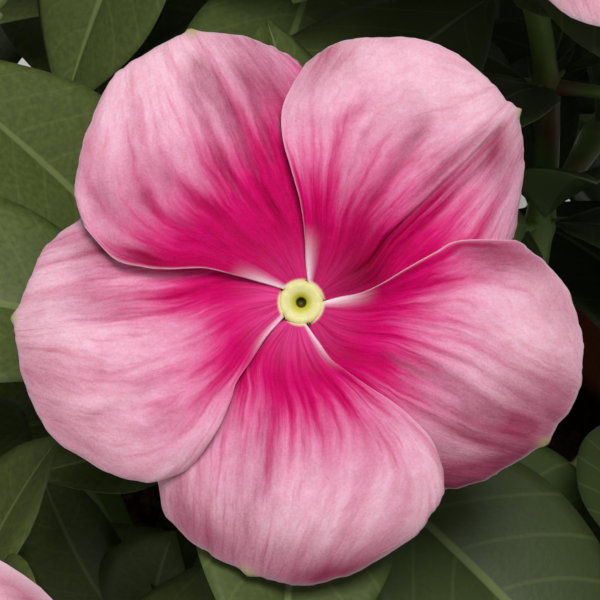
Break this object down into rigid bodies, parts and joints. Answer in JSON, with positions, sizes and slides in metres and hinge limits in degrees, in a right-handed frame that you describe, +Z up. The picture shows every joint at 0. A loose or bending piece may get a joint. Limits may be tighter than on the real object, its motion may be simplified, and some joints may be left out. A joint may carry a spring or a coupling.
{
  "type": "potted madagascar periwinkle",
  "caption": "Bushy flowering bedding plant with glossy leaves and flat five-petalled pink blooms, growing in a plain round clay pot.",
  "frame": {"origin": "middle of the pot's flat foot, on the surface it stands on", "axes": "+Z up through the plant, -Y towards the front, where the best bloom faces up and out"},
  "size_m": [0.2421, 0.2347, 0.277],
  "materials": {
    "clay": "matt fired clay",
    "soil": "loose damp compost",
    "foliage": "glossy leaf",
    "petal": "velvety petal",
    "throat": "soft petal tissue",
    "bud": "soft petal tissue"
  },
  "bodies": {
    "root": {"pot": "clay", "soil": "soil", "stem_1": "foliage", "stem_2": "foliage", "stem_3": "foliage", "stem_4": "foliage", "stem_5": "foliage", "stem_6": "foliage", "stem_7": "foliage", "bud_1": "bud", "bud_2": "bud", "bud_3": "bud", "bud_4": "bud", "bud_5": "bud", "bloom_01_petals": "petal", "bloom_01_tube": "throat", "bloom_02_petals": "petal", "bloom_02_tube": "throat", "bloom_03_petals": "petal", "bloom_03_tube": "throat", "bloom_04_petals": "petal", "bloom_04_tube": "throat", "bloom_05_petals": "petal", "bloom_05_tube": "throat", "bloom_06_petals": "petal", "bloom_06_tube": "throat", "bloom_07_petals": "petal", "bloom_07_tube": "throat", "bloom_08_petals": "petal", "bloom_08_tube": "throat", "bloom_09_petals": "petal", "bloom_09_tube": "throat", "bloom_10_petals": "petal", "bloom_10_tube": "throat", "bloom_11_petals": "petal", "bloom_11_tube": "throat", "bloom_12_petals": "petal", "bloom_12_tube": "throat", "bloom_13_petals": "petal", "bloom_13_tube": "throat", "bloom_14_petals": "petal", "bloom_14_tube": "throat"}
  },
  "joints": []
}
